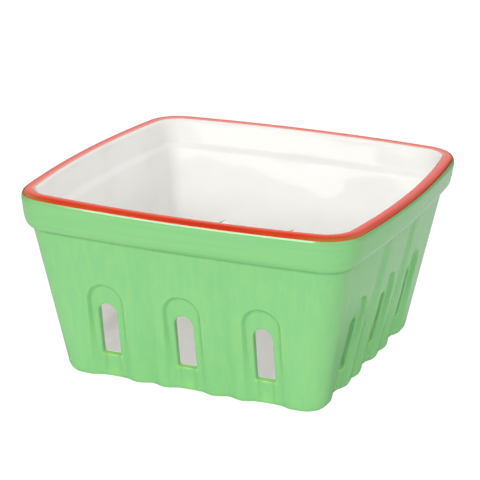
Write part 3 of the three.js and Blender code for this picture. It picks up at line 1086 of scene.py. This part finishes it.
green_finish, tree = new_material("green_brushed_glaze")
on_collar = span(tree, height_of(tree), (COLLAR_FOOT - TURN_REACH) * MM, (COLLAR_FOOT + TURN_REACH) * MM)
upright_brush = use_group(tree, strokes, {"Grain": UPRIGHT_GRAIN})
level_brush = use_group(tree, strokes, {"Grain": LEVEL_GRAIN})
upright_colour = blend(tree, upright_brush["Streak"], BLUE_GREEN, YELLOW_GREEN)
level_colour = blend(tree, level_brush["Streak"], BLUE_GREEN, YELLOW_GREEN)
brushed = blend(tree, on_collar, upright_colour, level_colour)
even = blend(tree, EVENNESS, brushed, GREEN)
pool = noted(tree, "pool")
# Painted shade: darker green where the note is above 0, partly gathered glaze.
gathered_and_shaded = blend(tree, span(tree, pool, *GATHERED_AND_SHADED, 0.0, DEEPEST_SHADE), even, DEEP_GREEN_AND_SHADE)
# Painted glint: lime where the note is below 0, partly thin glaze.
thinned_and_glinting = blend(tree, span(tree, pool, *THINNED_AND_GLINTING, 0.0, PALEST_GLINT), gathered_and_shaded, LIME_AND_GLINT)
dress(green.data, green_finish, {
    "Base Color": blend(tree, span(tree, noted(tree, "tunnel"), *LINED), thinned_and_glinting, WHITE),
    "Roughness": span(tree, upright_brush["Patch"], 0.0, 1.0, *GREEN_ROUGHNESS),
    "Normal": skin_normal(tree, GREEN_SKIN, {"Waves": 0.7, "Peel": 0.06}),
})

# %% [markdown]
# ### White glaze
# Inside, the punnet is coated with a plain white glaze that was poured in and out again. It ran down the
# walls in long waves, which bend what they mirror, so the light in front shows as patches on the far wall. On
# the floor the glaze settled level.

# %% White glaze material
WARM_WHITE = (0.9, 0.885, 0.855, 1)
CLOUD_GRAIN = (40, 40, 25)
FLOOR_WAVES, WALL_WAVES = 0.5, 8.0
WHITE_ROUGHNESS = (0.03, 0.06)
WHITE_SKIN = 0.5

white_finish, tree = new_material("white_gloss_glaze")
cloud = use_group(tree, strokes, {"Grain": CLOUD_GRAIN})
waves = span(tree, height_of(tree), FLOOR_THICKNESS * MM, SLOT_SIDE * MM, FLOOR_WAVES, WALL_WAVES)
dress(white.data, white_finish, {
    "Base Color": blend(tree, cloud["Streak"], WARM_WHITE, WHITE),
    "Roughness": span(tree, cloud["Patch"], 0.0, 1.0, *WHITE_ROUGHNESS),
    "Specular IOR Level": 0.11,
    "Normal": skin_normal(tree, WHITE_SKIN, {"Waves": waves, "Wave Scale": 36.0, "Peel": 0.03}),
})

# %% [markdown]
# ### Red glaze
# The lip was lined by hand with a loaded brush. The colour is full on the outer half, lighter coral on the
# crest as painted light where the lip's top faces the light above, olive where the brush turned a corner,
# and pink at its inner edge, where white shows through. The mesh notes how far over the lip each point lies,
# and how near it is to a corner.

# %% Red glaze material
RED = (0.54, 0.024, 0.005, 1)
ORANGE_RED = (0.6, 0.055, 0.007, 1)
# Painted light on the lip's crest.
CORAL_LIT = (0.92, 0.055, 0.018, 1)
PINK_RED = (0.92, 0.36, 0.3, 1)
OLIVE = (0.42, 0.17, 0.03, 1)
LINE_GRAIN = (30, 30, 900)
OUTER_PART, MOST_OLIVE = (0.1, 0.6), 0.7
CREST_LIT, INNER_EDGE = (0.25, 0.5), (0.66, 0.95)
RED_ROUGHNESS = (0.08, 0.15)
RED_SKIN = 0.2

red_finish, tree = new_material("red_brushed_glaze")
line_brush = use_group(tree, strokes, {"Grain": LINE_GRAIN})
full_red = blend(tree, line_brush["Streak"], RED, ORANGE_RED)
over = noted(tree, "over")
outer_bend = calculate(tree, "MULTIPLY", noted(tree, "bend"), span(tree, over, *OUTER_PART, MOST_OLIVE, 0.0))
over_green = blend(tree, outer_bend, full_red, OLIVE)
# Painted light: the crest of the lip is made lighter coral where it faces the light above.
crest_lit = blend(tree, span(tree, over, *CREST_LIT), over_green, CORAL_LIT)
dress(red.data, red_finish, {
    "Base Color": blend(tree, span(tree, over, *INNER_EDGE), crest_lit, PINK_RED),
    "Roughness": span(tree, line_brush["Patch"], 0.0, 1.0, *RED_ROUGHNESS),
    "Specular IOR Level": 0.33,
    "Normal": skin_normal(tree, RED_SKIN, {"Waves": 0.6, "Peel": 0.08}),
})

# %% [markdown]
# ### Bare clay
# Where the punnet stood in the kiln no glaze may reach, so the foot shows the fired body: pale buff, dull, a
# little grainy and dusted with darker specks.

# %% Bare clay material
CLAY_PALE = (0.74, 0.64, 0.5, 1)
CLAY_WARM = (0.66, 0.52, 0.37, 1)
CLAY_SPECK = (0.3, 0.2, 0.12, 1)
MOTTLE_SCALE, MOTTLE_DETAIL = 90.0, 4.0
SPECK_SCALE, SPECK_DETAIL = 1500.0, 2.0
SPECKED = (0.66, 0.74)
CLAY_SKIN = 0.12

clay_finish, tree = new_material("bare_fired_clay")
place = place_on(tree)
mottle = blend(tree, noise(tree, place, MOTTLE_SCALE, MOTTLE_DETAIL), CLAY_PALE, CLAY_WARM)
specks = span(tree, noise(tree, place, SPECK_SCALE, SPECK_DETAIL), *SPECKED)
dress(clay.data, clay_finish, {
    "Base Color": blend(tree, specks, mottle, CLAY_SPECK),
    "Roughness": 0.85,
    "Normal": skin_normal(tree, CLAY_SKIN, {"Waves": 0.2, "Peel": 1.0}),
})

# %% [markdown]
# ## Camera
# The camera stands where the photo was taken from: a little right of the front, about 18 degrees up, with a
# long lens. Its numbers were fitted so that the rim, the collar and the arches fall on those in the photo.

# %% Camera
UNIT = 75.0
AZIMUTH = 0.3945
ELEVATION = 0.3160
DISTANCE = 11.0191 * UNIT
FOCAL_PIXELS = 1947.4
SIDEWAYS = -0.0238 * UNIT
UPWARDS = 0.6141 * UNIT
ROLL = 0.0178
PHOTO_PIXELS = 480
SENSOR = 36.0

back = np.array([
    math.sin(AZIMUTH) * math.cos(ELEVATION), -math.cos(AZIMUTH) * math.cos(ELEVATION), math.sin(ELEVATION)
])
level_right = np.array([math.cos(AZIMUTH), math.sin(AZIMUTH), 0.0])
level_up = np.cross(back, level_right)
right = math.cos(ROLL) * level_right + math.sin(ROLL) * level_up
up = math.cos(ROLL) * level_up - math.sin(ROLL) * level_right
place = (back * DISTANCE + level_right * SIDEWAYS + level_up * UPWARDS) * MM
camera = bpy.data.objects.new("camera", bpy.data.cameras.new("camera"))
bpy.context.scene.collection.objects.link(camera)
camera.data.sensor_width = SENSOR
camera.data.lens = FOCAL_PIXELS * SENSOR / PHOTO_PIXELS
camera.matrix_world = Matrix([
    [*axis, shift] for axis, shift in zip(np.stack([right, up, back], axis=1), place)
] + [[0, 0, 0, 1]])
bpy.context.scene.camera = camera
print("lens", round(camera.data.lens, 1), "mm")

# %% [markdown]
# ## Studio
# The photo was taken in white surroundings, lit softly from the front and the sides. The world gives more
# light from the sides than from above. A gloss sees it pale, dimmer high up in front and dark along the
# skyline, because an even white world would wash the colours out.

# %% Surroundings
FILL_SIDES, FILL_ABOVE, FILL_TURN = 0.72, 0.2, (0.4, 0.9)
HIGH_FRONT, PALE, DIM, DIM_TURN = (0, -0.5, 0.866), 0.95, 0.3, (0.35, 0.75)
DARK_SKYLINE, SKYLINE_TURN = 0.15, (0.08, 0.25)
BACKDROP = 1.15
scene = bpy.context.scene
scene.view_settings.view_transform = "Standard"


def ray_kinds(tree):
    """Two values for the ray at hand: 1 if it comes from the camera, and 1 if a gloss sends it."""
    path = add(tree, "ShaderNodeLightPath")
    return path.outputs["Is Camera Ray"], path.outputs["Is Glossy Ray"]


def facing(tree, direction):
    """How far a ray into the world points in a direction: the dot product of the two."""
    ray = add(tree, "ShaderNodeTexCoord").outputs["Generated"]
    return add(tree, "ShaderNodeVectorMath", {0: ray, 1: direction}, operation="DOT_PRODUCT").outputs["Value"]


world = bpy.data.worlds.new("studio")
scene.world = world
world.use_nodes = True
tree = world.node_tree
sky = tree.nodes["Background"]
sky.inputs["Color"].default_value = (1, 1, 1, 1)
camera_ray, gloss_ray = ray_kinds(tree)
upwards = facing(tree, (0, 0, 1))
pale = span(tree, facing(tree, HIGH_FRONT), *DIM_TURN, PALE, DIM)
mirrored = calculate(tree, "MULTIPLY", pale, span(tree, upwards, *SKYLINE_TURN, DARK_SKYLINE, 1.0))
fill = span(tree, upwards, *FILL_TURN, FILL_SIDES, FILL_ABOVE)
light = span(tree, gloss_ray, 0, 1, fill, mirrored)
feed(tree, sky.inputs["Strength"], span(tree, camera_ray, 0, 1, light, BACKDROP))
print("the world has", len(tree.nodes), "nodes")

# %% [markdown]
# ### Lamps
# One bright card stands in front and shows only in the gloss, where it makes the highlights. The soft lamps
# do the opposite: they light the punnet from the front, the right, above and behind, and never show in the
# gloss.

# %% Lamps
TARGET = (0, 0, 0.04)
CARD = ("mirrored_card", (-0.36, -1.05, 0.33), (0.7, 0.42), 7.5)
SOFTBOXES = [
    ("front_softbox", (-0.04, -1.1, 0.52), (0.5, 0.4), 6.0),
    ("right_fill", (0.8, -0.5, 0.6), (0.6, 0.6), 0.6),
    ("top_softbox", (0.45, -0.2, 1.1), (0.8, 0.8), 2.4),
    ("back_fill", (0.1, 1.0, 0.7), (0.9, 0.6), 3.6),
]


def soft_lamp(name, place, size, power):
    """A soft rectangular lamp at a place in metres, with a power in watts, turned to face the punnet."""
    data = bpy.data.lights.new(name, "AREA")
    data.shape = "RECTANGLE"
    data.size, data.size_y = size
    data.energy = power
    lamp = bpy.data.objects.new(name, data)
    lamp.location = place
    lamp.rotation_mode = "QUATERNION"
    lamp.rotation_quaternion = (Vector(TARGET) - Vector(place)).to_track_quat("-Z", "Y")
    scene.collection.objects.link(lamp)
    return lamp


soft_lamp(*CARD).visible_diffuse = False
for softbox in SOFTBOXES:
    soft_lamp(*softbox).visible_glossy = False
print("lamps:", 1 + len(SOFTBOXES))

# %% [markdown]
# ### Floor
# The floor is pale, and for the camera it glows as white as the backdrop, but less behind the punnet, where
# its shadow shows. A gloss sees a lit table that is dark close to the foot and beyond its edge, and the
# table's light also reaches the lower walls.

# %% Floor
FLOOR_REACH, FLOOR_GAP = 4.0, 0.0002
FLOOR_PALE, FLOOR_ROUGHNESS = (0.98, 0.98, 0.98, 1), 0.7
SHADOW_MIDDLES = [(-0.035, 0.085, 0), (-0.06, 0.15, 0)]
SHADOW_SHARE, GLOW_SHARE, SHADOW_TURN = 0.3, 0.78, (0.03, 0.08)
NEAR_MIRRORED, MIRRORED, NEAR_TURN = 0.15, 0.56, (0.065, 0.105)
TABLE_LIGHT, TABLE_SHARE, TABLE_TURN = 1.6, 0.46, (0.1, 0.25)
TABLE_EDGE = (0.25, 0.4)


def away(tree, point):
    """How far a place on the floor lies from a point, in metres."""
    sources = {0: place_on(tree), 1: point}
    return add(tree, "ShaderNodeVectorMath", sources, operation="DISTANCE").outputs["Value"]


floor_mesh = bpy.data.meshes.new("floor")
corners = [(-1, -1), (1, -1), (1, 1), (-1, 1)]
floor_mesh.from_pydata([(x * FLOOR_REACH, y * FLOOR_REACH, 0) for x, y in corners], [], [(0, 1, 2, 3)])
floor = bpy.data.objects.new("floor", floor_mesh)
floor.location.z = -FLOOR_GAP
scene.collection.objects.link(floor)

floor_finish, tree = new_material("pale_floor")
camera_ray, gloss_ray = ray_kinds(tree)
distance = away(tree, (0, 0, 0))
lit = span(tree, distance, *NEAR_TURN, NEAR_MIRRORED, MIRRORED)
mirrored = calculate(tree, "MULTIPLY", lit, span(tree, distance, *TABLE_EDGE, 1.0, DARK_SKYLINE))
unseen = span(tree, gloss_ray, 0, 1, TABLE_LIGHT, mirrored)
strength = span(tree, camera_ray, 0, 1, unseen, BACKDROP)
glow = add(tree, "ShaderNodeEmission", {"Color": (1, 1, 1, 1), "Strength": strength})
near, far = [away(tree, point) for point in SHADOW_MIDDLES]
seen_share = span(tree, calculate(tree, "MINIMUM", near, far), *SHADOW_TURN, SHADOW_SHARE, GLOW_SHARE)
table_share = span(tree, distance, *TABLE_TURN, TABLE_SHARE, 0.0)
unseen_share = calculate(tree, "MAXIMUM", gloss_ray, table_share)
glow_share = span(tree, camera_ray, 0, 1, unseen_share, seen_share)
plain = tree.nodes["Principled BSDF"]
mixed = add(tree, "ShaderNodeMixShader", {0: glow_share, 1: plain.outputs[0], 2: glow.outputs[0]})
feed(tree, tree.nodes["Material Output"].inputs["Surface"], mixed.outputs[0])
dress(floor_mesh, floor_finish, {"Base Color": FLOOR_PALE, "Roughness": FLOOR_ROUGHNESS})
